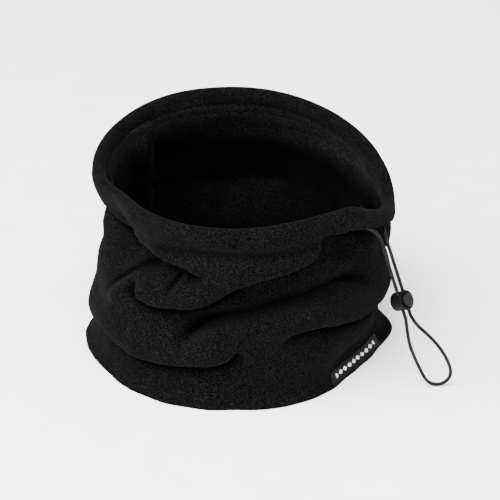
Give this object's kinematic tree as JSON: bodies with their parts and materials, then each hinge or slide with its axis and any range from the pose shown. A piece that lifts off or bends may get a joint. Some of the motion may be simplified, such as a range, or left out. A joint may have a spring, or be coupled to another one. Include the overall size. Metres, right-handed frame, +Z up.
{
  "type": "neck gaiter",
  "caption": "Oval fleece neck tube standing on its hem, with a drawcord tunnel at the rim, an elastic cord loop and a spring cord lock.",
  "frame": {"origin": "middle of the hem's oval, on the surface that the gaiter stands on", "axes": "+Z up through the neck opening, +X along the longer width towards the side where the cord leaves the rim, +Y towards the back"},
  "size_m": [0.2222, 0.165, 0.129],
  "materials": {
    "fleece": "brushed microfleece, black",
    "sewing_thread": "spun polyester thread, black",
    "elastic_cord": "braided polyester over rubber, black",
    "lock_plastic": "moulded acetal, fine spark texture, black",
    "button_plastic": "moulded acetal, satin, black",
    "spring_steel": "drawn wire",
    "label_satin": "woven satin tape, black with a pale woven pattern"
  },
  "bodies": {
    "gaiter": {"fleece_tube": "fleece", "tunnel_facing": "fleece", "tunnel_stitching": "sewing_thread", "side_seam_allowance": "fleece", "side_seam_stitching": "sewing_thread", "cord_buttonhole_front": "sewing_thread", "cord_buttonhole_rear": "sewing_thread", "drawcord_in_tunnel": "elastic_cord", "drawcord_loop": "elastic_cord", "cord_end_tack": "sewing_thread", "woven_label": "label_satin", "label_stitching": "sewing_thread"},
    "lock": {"lock_barrel": "lock_plastic", "lock_spring": "spring_steel"},
    "plunger": {"lock_plunger": "button_plastic"}
  },
  "joints": [
    {"name": "lock_slide", "type": "slide", "parent": "gaiter", "child": "lock", "axis": [-0.3057, 0.3998, 0.8641], "range_m": [-0.002, 0.014]},
    {"name": "plunger_press", "type": "slide", "parent": "lock", "child": "plunger", "axis": [-0.6869, 0.5359, -0.4909], "range_m": [0, 0.0018], "stiffness_N_per_m": 500, "springref_m": -0.002, "deforming": ["lock_spring"]}
  ]
}
